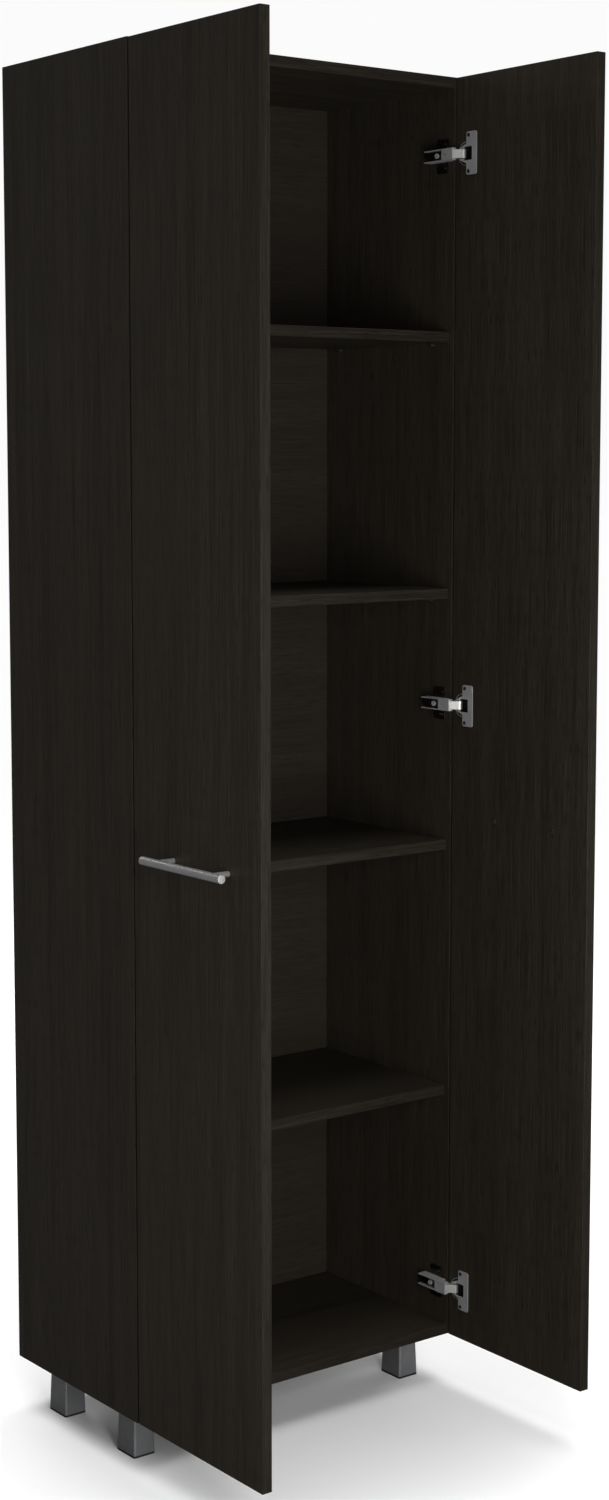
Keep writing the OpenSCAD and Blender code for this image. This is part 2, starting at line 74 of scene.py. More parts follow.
class Side(Enum):
    """The two halves of the cabinet, named as someone facing it sees them."""

    LEFT = "left"
    RIGHT = "right"

    @property
    def sign(self) -> int:
        """-1 on the left, 1 on the right."""
        return -1 if self is Side.LEFT else 1

    def inner(self, box: "Box") -> float:
        """The X of a box's face that looks at the middle of the cabinet."""
        return box.low.x if self is Side.RIGHT else box.high.x

    def outer(self, box: "Box") -> float:
        """The X of a box's face that looks away from the middle of the cabinet."""
        return box.high.x if self is Side.RIGHT else box.low.x


class Level(Enum):
    """The heights at which a door hangs on its hinges."""

    LOWER = "lower"
    MIDDLE = "middle"
    UPPER = "upper"


@dataclass(frozen=True)
class Box:
    """A box along the axes of the frame, in metres."""

    low: Vector
    high: Vector

    @property
    def size(self) -> Vector:
        """Its three lengths."""
        return self.high - self.low

    @property
    def middle(self) -> Vector:
        """Its centre."""
        return (self.low + self.high) / 2

    @staticmethod
    @cache
    def of(node: str) -> "Box":
        """The box of a CAD node."""
        return Box(*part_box(node))


def solids_of(node: str) -> list[Box]:
    """Finds the separate solids of a CAD node.

    Args:
        node: name of a CAD node, often a group of identical small pieces.

    Returns:
        The box of each solid.
    """
    bm = merged_copy(node)
    left = set(bm.verts)
    boxes = []
    while left:
        island, edge_of_island = set(), [left.pop()]
        while edge_of_island:
            vert = edge_of_island.pop()
            island.add(vert)
            near = {e.other_vert(vert) for e in vert.link_edges} & left
            left -= near
            edge_of_island.extend(near)
        spans = [[v.co[i] for v in island] for i in range(3)]
        boxes.append(Box(Vector([min(s) for s in spans]), Vector([max(s) for s in spans])))
    bm.free()
    return boxes


def merged_copy(node: str) -> bmesh.types.BMesh:
    """Copies a CAD node's triangles into a bmesh and joins them at their corners."""
    bm = bmesh.new()
    bm.from_mesh(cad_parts[node].data)
    bmesh.ops.remove_doubles(bm, verts=bm.verts, dist=0.001 * MM)
    return bm


def formed_copy(node: str) -> bmesh.types.BMesh:
    """Copies a CAD node with whole flat faces in place of its triangles."""
    bm = merged_copy(node)
    bmesh.ops.dissolve_limit(bm, angle_limit=FLAT_ENOUGH, verts=bm.verts, edges=bm.edges)
    return bm


def soften(bm: bmesh.types.BMesh, edges: Iterable, radius: float, segments: int = 2) -> None:
    """Rounds edges over.

    Args:
        bm: the shape.
        edges: which of its edges to round.
        radius: how far the rounding reaches from the edge, in metres.
        segments: number of faces across the rounding.
    """
    bmesh.ops.bevel(bm, geom=list(edges), offset=radius, offset_type="OFFSET", segments=segments,
                    profile=0.5, affect="EDGES", clamp_overlap=True, material=-1)


def sharp_edges(bm: bmesh.types.BMesh, degrees: float = 35) -> list:
    """The edges where two faces meet at more than the given angle."""
    limit = math.radians(degrees)
    return [e for e in bm.edges if len(e.link_faces) == 2 and e.calc_face_angle(0) > limit]


def edges_along(bm: bmesh.types.BMesh, axis: Axis) -> list:
    """The straight edges that run along one axis."""
    found = []
    for edge in bm.edges:
        run = edge.verts[1].co - edge.verts[0].co
        if abs(run[axis.value]) > 0.999 * run.length:
            found.append(edge)
    return found


def block(box: Box) -> bmesh.types.BMesh:
    """A plain block that fills a box, to be shaped further."""
    bm = bmesh.new()
    place = Matrix.Translation(box.middle) @ Matrix.Diagonal((*box.size, 1))
    bmesh.ops.create_cube(bm, size=1, matrix=place)
    return bm


def rod(bm: bmesh.types.BMesh, start: Vector, along: Axis, length: float, radius: float,
        segments: int = 48) -> list:
    """Adds a round rod.

    Args:
        bm: the shape that it is added to.
        start: middle of its first end.
        along: the axis that it runs along, towards the positive side.
        length: its length in metres.
        radius: its radius in metres.
        segments: number of faces round it.

    Returns:
        Its vertices.
    """
    turn = {Axis.X: Matrix.Rotation(math.pi / 2, 4, "Y"),
            Axis.Y: Matrix.Rotation(-math.pi / 2, 4, "X"),
            Axis.Z: Matrix.Identity(4)}[along]
    middle = Vector(start)
    middle[along.value] += length / 2
    made = bmesh.ops.create_cone(bm, cap_ends=True, segments=segments, radius1=radius,
                                 radius2=radius, depth=length,
                                 matrix=Matrix.Translation(middle) @ turn)
    return made["verts"]


def cut_away(piece: bpy.types.Object, tool: bmesh.types.BMesh) -> None:
    """Cuts a shape out of a piece for good, and discards the shape.

    Args:
        piece: the object to cut.
        tool: the shape to take away; several solids may touch the piece in different places.
    """
    bmesh.ops.recalc_face_normals(tool, faces=tool.faces)
    cutter = bpy.data.objects.new("cutter", bpy.data.meshes.new("cutter"))
    tool.to_mesh(cutter.data)
    tool.free()
    bpy.context.scene.collection.objects.link(cutter)
    cut = piece.modifiers.new("cut", "BOOLEAN")
    cut.operation = "DIFFERENCE"
    cut.solver = "EXACT"
    cut.object = cutter
    bpy.context.view_layer.update()
    result = piece.evaluated_get(bpy.context.evaluated_depsgraph_get())
    done = bpy.data.meshes.new_from_object(result)
    piece.modifiers.clear()
    piece.data = done
    bpy.data.objects.remove(cutter)


def make_object(name: str, bm: bmesh.types.BMesh) -> bpy.types.Object:
    """Turns a bmesh into an object at the origin, its place in its mesh."""
    mesh = bpy.data.meshes.new(name)
    bm.to_mesh(mesh)
    bm.free()
    piece = bpy.data.objects.new(name, mesh)
    bpy.context.scene.collection.objects.link(piece)
    return piece


def hand_over(piece: bpy.types.Object, finish: "Finish", body: str, slot: str,
              *nodes: str) -> None:
    """Smooths, dresses and reports a finished piece, and ties it to the CAD model.

    Args:
        piece: the finished piece.
        finish: its finish, unless its faces already have their materials.
        body: the CAD body that it moves with.
        slot: the record's material slot for it; not used.
        nodes: the CAD nodes that it stands for.
    """
    for face in piece.data.polygons:
        face.use_smooth = True
    if not piece.data.materials:
        piece.data.materials.append(finish.material())
    weigh = piece.modifiers.new("flat faces stay flat", "WEIGHTED_NORMAL")
    weigh.keep_sharp = True
    weigh.weight = 90
    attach(piece, body)
    if nodes:
        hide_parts(*nodes)
    log.info("%s: %d faces, rides on %s", piece.name, len(piece.data.polygons), body)


# Finishes --------------------------------------------------------------------------------


def linear(hex_colour: str) -> tuple[float, float, float, float]:
    """Turns an sRGB hex colour into linear values with full opacity."""
    def channel(value: int) -> float:
        part = value / 255
        return part / 12.92 if part <= 0.04045 else ((part + 0.055) / 1.055) ** 2.4
    red, green, blue = (int(hex_colour[i:i + 2], 16) for i in (1, 3, 5))
    return channel(red), channel(green), channel(blue), 1.0


def add_node(tree: bpy.types.NodeTree, kind: str, inputs: dict | None = None,
             **settings: object) -> bpy.types.Node:
    """Adds a node with its settings and links.

    Args:
        tree: the node tree.
        kind: the node's type name.
        inputs: for each input socket's name or number, a value for it or a socket to link.
        settings: the node's own properties.

    Returns:
        The node.
    """
    node = tree.nodes.new(kind)
    for name, value in settings.items():
        setattr(node, name, value)
    for key, value in (inputs or {}).items():
        if isinstance(value, bpy.types.NodeSocket):
            tree.links.new(value, node.inputs[key])
        else:
            node.inputs[key].default_value = value
    return node


@dataclass(frozen=True)
class Finish:
    """A surface finish.  Each kind wires its own colour, gloss and relief."""

    name: str

    def material(self) -> bpy.types.Material:
        """The finish as a material, made once and then shared."""
        made = bpy.data.materials.get(self.name)
        if made is None:
            made = bpy.data.materials.new(self.name)
            made.use_nodes = True
            tree = made.node_tree
            tree.nodes.clear()
            shader = add_node(tree, "ShaderNodeBsdfPrincipled")
            add_node(tree, "ShaderNodeOutputMaterial", {"Surface": shader.outputs["BSDF"]})
            self.wire(tree, shader)
        return made

    def wire(self, tree: bpy.types.NodeTree, shader: bpy.types.Node) -> None:
        """Adds the finish's own nodes in front of the shader."""
        raise NotImplementedError

    def stretched(self, tree: bpy.types.NodeTree, along: Axis, across: float, length: float,
                  offset: float = 0.0) -> bpy.types.NodeSocket:
        """Coordinates in which a pattern of unit size comes out long and narrow.

        Args:
            tree: the node tree.
            along: the direction of the pattern's long side.
            across: the pattern's width, in metres.
            length: the pattern's length, in metres.
            offset: moves the pattern, so that layers don't line up.

        Returns:
            The coordinates' socket.
        """
        place = add_node(tree, "ShaderNodeTexCoord")
        scale = [1 / across] * 3
        scale[along.value] = 1 / length
        return add_node(tree, "ShaderNodeMapping",
                        {"Vector": place.outputs["Object"], "Scale": scale,
                         "Location": (offset, offset * 1.7, offset * 2.3)}).outputs["Vector"]


@dataclass(frozen=True)
class WoodPrint(Finish):
    """Melamine board with a printed and embossed dark wenge grain.

    Fine light and dark streaks along the grain, slow bands across it, short dark pores that
    are pressed in a little, and a satin sheen that the pores break up.
    """

    grain: Axis
    dark: str
    light: str
    sheen: float = 0.16
    streak: float = 1.7 * MM
    streak_length: float = 130 * MM
    band: float = 26 * MM
    band_length: float = 1500 * MM
    pore: float = 1.1 * MM              # real pores are 0.3 mm wide, too fine to show
    pore_length: float = 26 * MM
    streak_contrast: float = 0.95
    band_contrast: float = 0.32
    pore_starts: float = 0.56           # the noise above which the print darkens into a pore
    pore_full: float = 0.68
    pore_depth: float = 0.1 * MM
    roughness: tuple[float, float] = (0.44, 0.58)

    def wire(self, tree: bpy.types.NodeTree, shader: bpy.types.Node) -> None:
        """Mixes two browns by streaks, bands and pores, and presses the pores in."""
        streaks = add_node(tree, "ShaderNodeTexNoise", {
            "Vector": self.stretched(tree, self.grain, self.streak, self.streak_length),
            "Scale": 1.0, "Detail": 3.0, "Roughness": 0.6})
        bands = add_node(tree, "ShaderNodeTexNoise", {
            "Vector": self.stretched(tree, self.grain, self.band, self.band_length, 3.1),
            "Scale": 1.0, "Detail": 2.0, "Roughness": 0.5})
        pores = add_node(tree, "ShaderNodeTexNoise", {
            "Vector": self.stretched(tree, self.grain, self.pore, self.pore_length, 7.7),
            "Scale": 1.0, "Detail": 1.0, "Roughness": 0.4})
        pore_mask = add_node(tree, "ShaderNodeMapRange", {
            "Value": pores.outputs["Fac"], "From Min": self.pore_starts,
            "From Max": self.pore_full})
        tone = add_node(tree, "ShaderNodeMath", {
            0: streaks.outputs["Fac"], 1: self.streak_contrast,
            2: (1 - self.streak_contrast) / 2}, operation="MULTIPLY_ADD")
        slow = add_node(tree, "ShaderNodeMath", {
            0: bands.outputs["Fac"], 1: self.band_contrast,
            2: -self.band_contrast / 2}, operation="MULTIPLY_ADD")
        mixed = add_node(tree, "ShaderNodeMath", {
            0: tone.outputs[0], 1: slow.outputs[0]}, operation="ADD")
        share = add_node(tree, "ShaderNodeMapRange", {
            "Value": mixed.outputs[0], "From Min": 0.3, "From Max": 0.7})
        browns = add_node(tree, "ShaderNodeMix", {
            0: share.outputs["Result"], 6: linear(self.dark), 7: linear(self.light)},
            data_type="RGBA")
        pored = add_node(tree, "ShaderNodeMix", {
            0: pore_mask.outputs["Result"], 6: browns.outputs[2], 7: linear(self.dark)},
            data_type="RGBA")
        gloss = add_node(tree, "ShaderNodeMapRange", {
            "Value": mixed.outputs[0], "To Min": self.roughness[0], "To Max": self.roughness[1]})
        relief = add_node(tree, "ShaderNodeMath", {
            0: pore_mask.outputs["Result"], 1: -1.0}, operation="MULTIPLY")
        bump = add_node(tree, "ShaderNodeBump", {
            "Height": relief.outputs[0], "Strength": 0.25, "Distance": self.pore_depth})
        tree.links.new(pored.outputs[2], shader.inputs["Base Color"])
        tree.links.new(gloss.outputs["Result"], shader.inputs["Roughness"])
        tree.links.new(bump.outputs["Normal"], shader.inputs["Normal"])
        shader.inputs["Specular IOR Level"].default_value = self.sheen


@dataclass(frozen=True)
class Metal(Finish):
    """Bare, plated or lacquered metal.

    A base colour with faint clouds, and a gloss that changes a little from place to place;
    brushed metal has fine scratches along one axis.
    """

    colour: str
    roughness: float
    metallic: float = 1.0
    brushed: Axis | None = None
    scratch: float = 0.5 * MM           # real scratches are far finer than can be shown
    scratch_length: float = 40 * MM
    relief: float = 0.015 * MM
    cloud: float = 14 * MM
    worn: float = 0.8                   # the darkest clouds, as a share of the base colour
    gloss_change: float = 0.15

    def wire(self, tree: bpy.types.NodeTree, shader: bpy.types.Node) -> None:
        """Wires clouds and scratches to colour, gloss and relief."""
        along = self.brushed or Axis.Z
        length = self.scratch_length if self.brushed else self.scratch
        fine = add_node(tree, "ShaderNodeTexNoise", {
            "Vector": self.stretched(tree, along, self.scratch, length),
            "Scale": 1.0, "Detail": 2.0, "Roughness": 0.5})
        clouds = add_node(tree, "ShaderNodeTexNoise", {
            "Vector": self.stretched(tree, along, self.cloud, self.cloud, 5.3),
            "Scale": 1.0, "Detail": 2.0, "Roughness": 0.5})
        clean = linear(self.colour)
        dulled = (*(part * self.worn for part in clean[:3]), 1.0)
        tint = add_node(tree, "ShaderNodeMix", {
            0: clouds.outputs["Fac"], 6: dulled, 7: clean}, data_type="RGBA")
        gloss = add_node(tree, "ShaderNodeMapRange", {
            "Value": fine.outputs["Fac"], "From Min": 0.3, "From Max": 0.7,
            "To Min": self.roughness * (1 - self.gloss_change),
            "To Max": self.roughness * (1 + self.gloss_change)})
        bump = add_node(tree, "ShaderNodeBump", {
            "Height": fine.outputs["Fac"], "Strength": 0.3, "Distance": self.relief})
        tree.links.new(tint.outputs[2], shader.inputs["Base Color"])
        tree.links.new(gloss.outputs["Result"], shader.inputs["Roughness"])
        tree.links.new(bump.outputs["Normal"], shader.inputs["Normal"])
        shader.inputs["Metallic"].default_value = self.metallic


@dataclass(frozen=True)
class Moulded(Finish):
    """Moulded rubber or plastic: an even dull colour with a fine pebbled skin."""

    colour: str
    pale: str
    roughness: float = 0.75
    pebble: float = 1.2 * MM
    relief: float = 0.05 * MM

    def wire(self, tree: bpy.types.NodeTree, shader: bpy.types.Node) -> None:
        """Wires the pebbles to colour and relief."""
        pebbles = add_node(tree, "ShaderNodeTexNoise", {
            "Vector": self.stretched(tree, Axis.Z, self.pebble, self.pebble),
            "Scale": 1.0, "Detail": 2.0, "Roughness": 0.5})
        tint = add_node(tree, "ShaderNodeMix", {
            0: pebbles.outputs["Fac"], 6: linear(self.colour), 7: linear(self.pale)},
            data_type="RGBA")
        bump = add_node(tree, "ShaderNodeBump", {
            "Height": pebbles.outputs["Fac"], "Strength": 0.3, "Distance": self.relief})
        tree.links.new(tint.outputs[2], shader.inputs["Base Color"])
        tree.links.new(bump.outputs["Normal"], shader.inputs["Normal"])
        shader.inputs["Roughness"].default_value = self.roughness


@dataclass(frozen=True)
class StudioFloor(Finish):
    """Matt pale floor paint, not part of the cabinet.

    It looks nearly white, but it throws back only part of the light that falls on it, so
    that the cabinet's sides stay as dark as in a studio with dark walls.
    """

    shown: str = "#f6f6f6"
    thrown_back: str = "#5c5c5c"

    def wire(self, tree: bpy.types.NodeTree, shader: bpy.types.Node) -> None:
        """Wires the two tones by the kind of ray."""
        ray = add_node(tree, "ShaderNodeLightPath")
        tone = add_node(tree, "ShaderNodeMix", {
            0: ray.outputs["Is Camera Ray"], 6: linear(self.thrown_back), 7: linear(self.shown)},
            data_type="RGBA")
        tree.links.new(tone.outputs[2], shader.inputs["Base Color"])
        shader.inputs["Roughness"].default_value = 0.9
        shader.inputs["Specular IOR Level"].default_value = 0.0


def wenge(grain: Axis) -> WoodPrint:
    """The wood print of the boards' faces, with its grain along an axis."""
    # near-black brown in which fine lighter streaks only just show
    return WoodPrint(f"wenge melamine, grain along {grain.name}", grain, "#201c17", "#38332b")


def wenge_edge(grain: Axis) -> WoodPrint:
    """The thin plastic band on the boards' edges: the same print, a little plainer."""
    # a slightly darker, duller line round every board
    return WoodPrint(f"wenge edge band, grain along {grain.name}", grain, "#1b1813", "#2f2a23",
                     sheen=0.12, streak=1.8 * MM, band=12 * MM)


# flat brown ground behind the shelves, its grain barely seen
BACK_BOARD = WoodPrint("printed hardboard, grain along X", Axis.X, "#24201b", "#302b25", sheen=0.1)
# pale warm wood, inside the joints
BEECH = WoodPrint("turned beech", Axis.X, "#a98255", "#d0ab78", sheen=0.3, streak=0.8 * MM,
                  streak_length=14 * MM, band=6 * MM, band_length=60 * MM)
# even mid grey of hinge arms, cups, plates and screws, with soft highlights on the rolled edges
ZINC = Metal("zinc-plated pressed steel", "#c6c7c8", 0.4, metallic=0.55)
# the bright spot at the middle of each hinge
NICKEL = Metal("bright nickel-plated zinc", "#dad9d6", 0.34, metallic=0.8)
# grey bar with a soft streak of light along it and a bright end
BRUSHED = Metal("brushed stainless steel", "#cdcdcc", 0.3, metallic=0.78, brushed=Axis.Y)
# dark fittings that sink into the dark boards, with small glints
PASSIVATED = Metal("dark passivated pressed steel", "#55524f", 0.3)
# pins and screw heads of nearly the boards' own tone
BLACKED = Metal("brown-black lacquered steel", "#2c2824", 0.5, metallic=0.2)
# satin grey legs, lighter in front than at the side
LACQUER = Metal("silver-grey lacquered steel", "#a7a8aa", 0.36, metallic=0.78)
# a thin black line under each leg
RUBBER = Moulded("moulded rubber", "#101010", "#1c1b1b")
# painted shade: near-black for the inner walls and floor of each hinge cup's bowl, the hollow where
# shade falls
PAINTED_CUP_SHADE = Moulded("near-black painted cup shade", "#0e0e0e", "#191818", 0.6)


# Carcass ---------------------------------------------------------------------------------


@dataclass
class Board:
    """One melamine-faced board with edge bands and slightly rounded edges."""

    node: str
    body: str
    grain: Axis
    edge_radius: float = 0.5 * MM

    def build(self, holes: bmesh.types.BMesh | None = None) -> bpy.types.Object:
        """Makes the board.

        Args:
            holes: a shape to take out of it, for grooves, cups and fittings.

        Returns:
            The board.
        """
        bm = block(Box.of(self.node))
        soften(bm, bm.edges, self.edge_radius, 3)
        board = make_object(self.node + "_board", bm)
        if holes is not None:
            cut_away(board, holes)
        return board

    def dress(self, board: bpy.types.Object) -> None:
        """Gives the two wide faces the wood print and the four narrow ones the edge band."""
        size = Box.of(self.node).size
        thickness = min(range(3), key=lambda i: size[i])
        faces = [wenge(self.grain)] + [wenge_edge(axis) for axis in Axis]
        board.data.materials.clear()
        for finish in faces:
            board.data.materials.append(finish.material())
        for face in board.data.polygons:
            across = max(range(3), key=lambda i: abs(face.normal[i]))
            if across == thickness:
                face.material_index = 0
            else:
                run = next(i for i in sorted(range(3), key=lambda i: -size[i])
                           if i not in (across, thickness))
                face.material_index = 1 + run
        hand_over(board, faces[0], self.body, "wenge_board", self.node)


@dataclass
class Carcass:
    """Side, top, bottom and back panels, shelves, and the fittings that hold them."""

    body: str = "cabinet"
    groove_play: float = 0.2 * MM
    hole_play: float = 0.1 * MM
    back_edge: float = 0.3 * MM

    def groove(self) -> bmesh.types.BMesh:
        """The slot that the back panel stands in."""
        back = Box.of("back_panel")
        play = Vector((self.groove_play,) * 3)
        return block(Box(back.low - play, back.high + play))

    def drill(self, holes: bmesh.types.BMesh, nodes: Iterable[str], along: Axis, near: Box) -> None:
        """Adds a round hole for each piece of some groups of fittings.

        Args:
            holes: the shape that collects the holes.
            nodes: the groups of fittings.
            along: the direction of the fittings' axes.
            near: only fittings that touch this box are drilled for.
        """
        for node in nodes:
            for fitting in solids_of(node):
                apart = any(fitting.low[i] > near.high[i] or fitting.high[i] < near.low[i]
                            for i in range(3))
                if apart:
                    continue
                across = [i for i in range(3) if i != along.value]
                radius = min(fitting.size[i] for i in across) / 2 + self.hole_play
                start = fitting.middle.copy()
                start[along.value] = fitting.low[along.value] - self.hole_play
                depth = fitting.size[along.value] + 2 * self.hole_play
                rod(holes, start, along, depth, radius, 32)

    def build(self) -> None:
        """Makes all boards of the carcass."""
        for side in Side:
            node = f"{side.value}_side_panel"
            board = Board(node, self.body, Axis.Z)
            panel = board.build(self.groove())
            board.dress(panel)
        for node in ("top_panel", "bottom_panel"):
            board = Board(node, self.body, Axis.X)
            panel = board.build(self.groove())
            cams = bmesh.new()
            self.drill(cams, ["cam_locks"], Axis.Z, Box.of(node))
            cut_away(panel, cams)
            board.dress(panel)
        for number in range(1, 5):
            board = Board(f"shelf_{number}", self.body, Axis.X)
            board.dress(board.build())
        bm = block(Box.of("back_panel"))
        soften(bm, bm.edges, self.back_edge)
        back = make_object("back_panel_board", bm)
        hand_over(back, BACK_BOARD, self.body, "back_board", "back_panel")


@dataclass
class Fittings:
    """Small metal pieces whose CAD shape is right: each gets rolled edges and a plated look."""

    roll: float = 0.25 * MM

    def build(self, node: str, finish: Finish, body: str, slot: str,
              roll: float | None = None) -> bpy.types.Object:
        """Makes a copy of a CAD node with its sharp edges rolled over.

        Args:
            node: the CAD node.
            finish: the finish of the copy.
            body: the CAD body that it moves with.
            slot: the record's material slot for it.
            roll: radius of the rolled edges, if it isn't the usual one.

        Returns:
            The piece.
        """
        bm = formed_copy(node)
        soften(bm, sharp_edges(bm), self.roll if roll is None else roll)
        piece = make_object(node + "_formed", bm)
        hand_over(piece, finish, body, slot, node)
        return piece


# Doors and handles -----------------------------------------------------------------------


@dataclass
class Door:
    """One full-height door with its cup recesses."""

    side: Side
    cup_play: float = 0.1 * MM

    @property
    def body(self) -> str:
        """The CAD body of the door."""
        return f"{self.side.value}_door"

    def build(self) -> None:
        """Makes the door and bores a recess for each hinge cup."""
        board = Board(self.body, self.body, Axis.Z)
        place = Box.of(self.body)
        recesses = bmesh.new()
        for level in Level:
            cup = Box.of(self.cup_node(level))
            face = self.side.inner(place)
            floor = self.side.outer(cup)
            radius = self.bowl_radius(level) + self.cup_play
            middle_y = place.high.y - self.bowl_edge(level) - radius
            start = Vector((min(face, floor) - (MM if self.side is Side.RIGHT else 0),
                            middle_y, cup.middle.z))
            rod(recesses, start, Axis.X, abs(face - floor) + MM, radius, 64)
        door = board.build(recesses)
        board.dress(door)

    def cup_node(self, level: Level) -> str:
        """The CAD node of one of the door's hinge cups."""
        return f"{self.side.value}_{level.value}_hinge_cup"

    def bowl_edge(self, level: Level) -> float:
        """Wood between a cup and the hinge-side edge of the door."""
        cup = Box.of(self.cup_node(level))
        return Box.of(self.body).high.y - cup.high.y - self.cup_play

    def bowl_radius(self, level: Level) -> float:
        """Outer radius of a hinge cup, read from the vertices inside the door."""
        door = Box.of(self.body)
        inside = [v.co.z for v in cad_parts[self.cup_node(level)].data.vertices
                  if door.low.x < v.co.x < door.high.x]
        return (max(inside) - min(inside)) / 2


@dataclass
class Handle:
    """A round bar on two slim posts, screwed through the door."""

    side: Side
    chamfer: float = 0.7 * MM
    foot: float = 0.4 * MM

    @property
    def body(self) -> str:
        """The CAD body that the handle is fixed to."""
        return f"{self.side.value}_door"

    def build(self) -> None:
        """Makes the bar and its posts."""
        bar_node = f"{self.side.value}_handle_bar"
        place = Box.of(bar_node)
        radius = place.size.z / 2
        bm = bmesh.new()
        start = place.middle.copy()
        start.y = place.low.y
        rod(bm, start, Axis.Y, place.size.y, radius, 64)
        soften(bm, sharp_edges(bm, 60), self.chamfer, 3)
        bar = make_object(bar_node + "_turned", bm)
        hand_over(bar, BRUSHED, self.body, "handle_steel", bar_node)

        posts_node = f"{self.side.value}_handle_posts"
        bm = bmesh.new()
        for post in solids_of(posts_node):
            start = post.middle.copy()
            foot = self.side.inner(post)
            start.x = min(foot, place.middle.x)
            reach = abs(place.middle.x - foot)
            rod(bm, start, Axis.X, reach, post.size.z / 2, 40)
        soften(bm, sharp_edges(bm, 60), self.foot, 2)
        posts = make_object(posts_node + "_turned", bm)
        hand_over(posts, BRUSHED, self.body, "handle_steel", posts_node)


# Legs ------------------------------------------------------------------------------------


@dataclass
class Leg:
    """A short square leg, a little wider at the foot, on a thin rubber pad."""

    name: str
    body: str = "cabinet"
    corner: float = 3 * MM
    rim: float = 0.6 * MM
    flare: float = 2.5 * MM

    def build(self) -> None:
        """Makes the leg and its pad."""
        node = f"{self.name}_leg"
        place = Box.of(node)
        bm = block(place)
        top = [v for v in bm.verts if v.co.z > place.middle.z]
        middle = place.middle
        narrow = Matrix.Diagonal((1 - 2 * self.flare / place.size.x,
                                  1 - 2 * self.flare / place.size.y, 1, 1))
        bmesh.ops.transform(bm, matrix=narrow, space=Matrix.Translation(-middle), verts=top)
        upright = [e for e in bm.edges
                   if abs(e.verts[0].co.z - e.verts[1].co.z) > place.size.z / 2]
        soften(bm, upright, self.corner, 5)
        soften(bm, sharp_edges(bm, 60), self.rim, 2)
        leg = make_object(node + "_shell", bm)
        hand_over(leg, LACQUER, self.body, "leg_metal", node)

        pad_node = f"{self.name}_foot_pad"
        bm = block(Box.of(pad_node))
        soften(bm, edges_along(bm, Axis.Z), self.corner, 5)
        soften(bm, sharp_edges(bm, 60), self.rim, 2)
        pad = make_object(pad_node + "_moulded", bm)
        hand_over(pad, RUBBER, self.body, "foot_pad", pad_node)


# Hinges ----------------------------------------------------------------------------------


@dataclass
class HingeCup:
    """A pressed cup let into the door, with a wide flange, and the inside of its bowl painted
    near-black as painted shade.
    """

    side: Side
    level: Level
    roll: float = 0.55 * MM
    lip: float = 0.5 * MM
    deep: float = 3 * MM                # past this depth there is only the bowl

    def line(self, bm: bmesh.types.BMesh) -> None:
        """Gives the inside of the bowl the second material, a near-black painted shade.

        Args:
            bm: the mesh of the cup.
        """
        door = Box.of(f"{self.side.value}_door")
        inward = self.side.sign
        mouth = self.side.inner(door)
        bowl = [v.co for v in bm.verts if (v.co.x - mouth) * inward > self.deep]
        ys = [co.y for co in bowl]
        zs = [co.z for co in bowl]
        axis = Vector((0, (min(ys) + max(ys)) / 2, (min(zs) + max(zs)) / 2))
        for face in bm.faces:
            at = face.calc_center_median()
            if (at.x - mouth) * inward < self.lip:
                continue
            out = Vector((0, at.y - axis.y, at.z - axis.z))
            is_wall = out.dot(face.normal) < -0.5 * out.length
            is_floor = face.normal.x * inward < -0.5
            if is_wall or is_floor:
                # painted shade: the bowl's inner walls and floor take the near-black second
                # material
                face.material_index = 1

    def build(self) -> None:
        """Makes the cup and the painted shade inside its bowl."""
        node = f"{self.side.value}_{self.level.value}_hinge_cup"
        bm = formed_copy(node)
        bm.normal_update()
        self.line(bm)
        soften(bm, sharp_edges(bm), self.roll)
        cup = make_object(node + "_formed", bm)
        cup.data.materials.append(ZINC.material())
        # second material: painted shade for the hollow of the bowl
        cup.data.materials.append(PAINTED_CUP_SHADE.material())
        hand_over(cup, ZINC, f"{self.side.value}_door", "zinc_steel", node)


@dataclass
class Hinges:
    """The three concealed hinges of one door."""

    side: Side
    fittings: Fittings
    arm_roll: float = 0.35 * MM
    link_roll: float = 0.4 * MM

    def build(self) -> None:
        """Makes arms, mounting plates, links, cups and their pins and screws."""
        side = self.side.value
        door, links = f"{side}_door", f"{side}_hinge_links"
        form = self.fittings.build
        for level in Level:
            hinge = f"{side}_{level.value}_hinge"
            form(hinge + "_arm", ZINC, "cabinet", "zinc_steel", self.arm_roll)
            form(hinge + "_link", NICKEL, links, "nickel_plate", self.link_roll)
            HingeCup(self.side, level).build()
        form(f"{side}_hinge_mounting_plates", PASSIVATED, "cabinet", "dark_fittings")
        form(f"{side}_hinge_link_pins", NICKEL, links, "nickel_plate")
        form(f"{side}_hinge_cup_screws", PASSIVATED, door, "dark_fittings", SCREW_ROLL)
        form(f"{side}_handle_screws", BLACKED, door, "dark_fittings", SCREW_ROLL)


# Stage -----------------------------------------------------------------------------------


@dataclass(frozen=True)
class Lamp:
    """A soft rectangular light that the camera doesn't see."""

    name: str
    at: tuple[float, float, float]
    watts: float
    width: float
    height: float
    aim: tuple[float, float, float]     # the point that it faces

    def hang(self) -> None:
        """Puts the light in the scene."""
        light = bpy.data.lights.new(self.name, "AREA")
        light.energy = self.watts
        light.shape = "RECTANGLE"
        light.size = self.width
        light.size_y = self.height
        lamp = bpy.data.objects.new(self.name, light)
        lamp.location = self.at
        facing = Vector(self.aim) - Vector(self.at)
        lamp.rotation_euler = facing.to_track_quat("-Z", "Y").to_euler()
        lamp.visible_camera = False
        bpy.context.scene.collection.objects.link(lamp)


LAMPS = (
    Lamp("strip in front", (0.0, -2.3, 0.9), 7, 0.5, 1.7, (0.05, 0.3, 1.0)),
    Lamp("strip to the left of it", (-1.0, -2.2, 0.9), 42, 0.5, 1.7, (0.25, 0.1, 1.0)),
    Lamp("front softbox", (2.3, -3.5, 0.7), 12, 1.6, 1.4, (0, 0, 0.6)),
    Lamp("left fill", (-4.0, -1.0, 2.0), 8, 2.0, 2.0, (0, 0, 1.0)),
    Lamp("right fill", (4.0, 0.4, 2.2), 40, 2.0, 2.0, (0, 0, 1.0)),
    Lamp("rear fill", (0.6, 4.0, 2.2), 60, 2.4, 2.4, (0, 0, 1.0)),
)


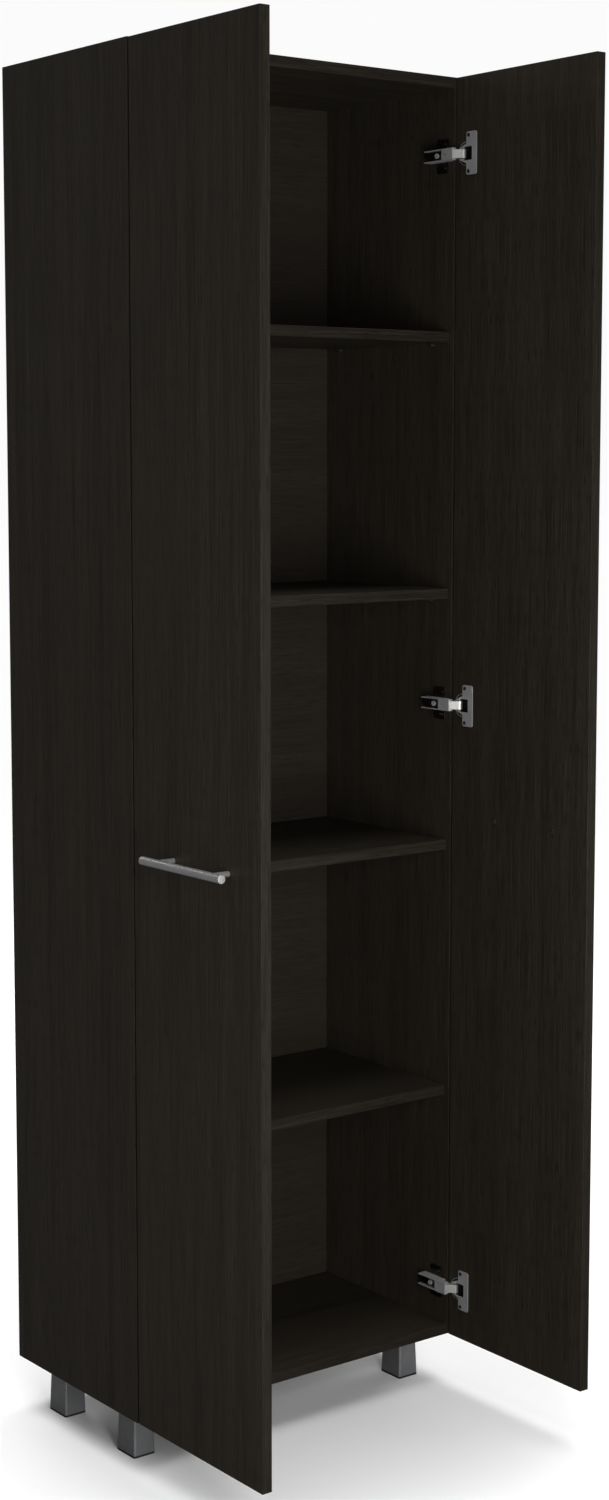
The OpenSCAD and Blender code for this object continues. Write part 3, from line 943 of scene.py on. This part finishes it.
@dataclass
class Studio:
    """Pale floor, soft light and the camera."""

    camera_at: tuple[float, float, float] = (-2.1142, -2.7829, 1.4583)
    heading: float = 37.38              # degrees from +Y towards +X
    tilt: float = 6.24                  # degrees below level
    lens: float = 57.48
    shift_y: float = -0.0214
    floor_size: float = 40.0
    background: str = "#fbfbfb"
    floor_gap: float = 0.2 * MM         # keeps the floor clear of the foot pads
    ceiling: float = 3.0
    ceiling_spread: float = 50.0        # degrees
    surround: float = 0.11

    def floor(self) -> None:
        """A wide pale floor just under the foot pads."""
        bm = bmesh.new()
        under = Matrix.Translation((0, 0, -self.floor_gap))
        bmesh.ops.create_grid(bm, x_segments=1, y_segments=1, size=self.floor_size, matrix=under)
        floor = make_object("studio_floor", bm)
        floor.data.materials.append(StudioFloor("pale studio floor").material())

    def light(self) -> None:
        """The soft lights, a white ceiling and a dim surround."""
        for lamp in LAMPS:
            lamp.hang()
        ceiling = bpy.data.lights.new("white ceiling", "SUN")
        ceiling.energy = self.ceiling
        ceiling.angle = math.radians(self.ceiling_spread)
        bpy.context.scene.collection.objects.link(bpy.data.objects.new("white ceiling", ceiling))
        world = bpy.data.worlds.new("surround")
        bpy.context.scene.world = world
        world.use_nodes = True
        tree = world.node_tree
        tree.nodes.clear()
        dim = add_node(tree, "ShaderNodeBackground",
                       {"Color": linear(self.background), "Strength": self.surround})
        seen = add_node(tree, "ShaderNodeBackground", {"Color": linear(self.background)})
        ray = add_node(tree, "ShaderNodeLightPath")
        pick = add_node(tree, "ShaderNodeMixShader", {
            0: ray.outputs["Is Camera Ray"], 1: dim.outputs[0], 2: seen.outputs[0]})
        add_node(tree, "ShaderNodeOutputWorld", {"Surface": pick.outputs[0]})

    def camera(self) -> None:
        """Sets the camera at its place, level from side to side."""
        lens = bpy.data.cameras.new("camera")
        lens.lens = self.lens
        lens.sensor_width = 36
        lens.shift_y = self.shift_y
        camera = bpy.data.objects.new("camera", lens)
        camera.location = self.camera_at
        camera.rotation_euler = (math.radians(90 - self.tilt), 0, math.radians(-self.heading))
        bpy.context.scene.collection.objects.link(camera)
        bpy.context.scene.camera = camera
        bpy.context.scene.view_settings.view_transform = "Standard"


def dress_hidden_nodes() -> None:
    """Gives the CAD nodes that stay as they are their real materials."""
    kept = {"cam_bolts": ZINC, "dowels": BEECH, "leg_bolts": ZINC}
    for node, finish in kept.items():
        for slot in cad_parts[node].material_slots:
            slot.material = finish.material()


def main() -> None:
    """Builds the stage and then every sub-assembly of the cabinet."""
    logging.basicConfig(level=logging.INFO, format="%(message)s")
    studio = Studio()
    studio.camera()
    studio.floor()
    studio.light()
    Carcass().build()
    fittings = Fittings()
    for node in ("cam_locks", "leg_plates", "leg_plate_screws", "hinge_arm_screws"):
        fittings.build(node, ZINC, "cabinet", "zinc_steel", SCREW_ROLL)
    fittings.build("mounting_plate_screws", PASSIVATED, "cabinet", "dark_fittings", SCREW_ROLL)
    fittings.build("shelf_pins", BLACKED, "cabinet", "dark_fittings", PIN_ROLL)
    fittings.build("hinge_arm_pins", NICKEL, "cabinet", "nickel_plate")
    for name in ("front_left", "front_right", "back_left", "back_right"):
        Leg(name).build()
    for side in Side:
        Door(side).build()
        Handle(side).build()
        Hinges(side, fittings).build()
    dress_hidden_nodes()


if __name__ == "__main__":
    main()
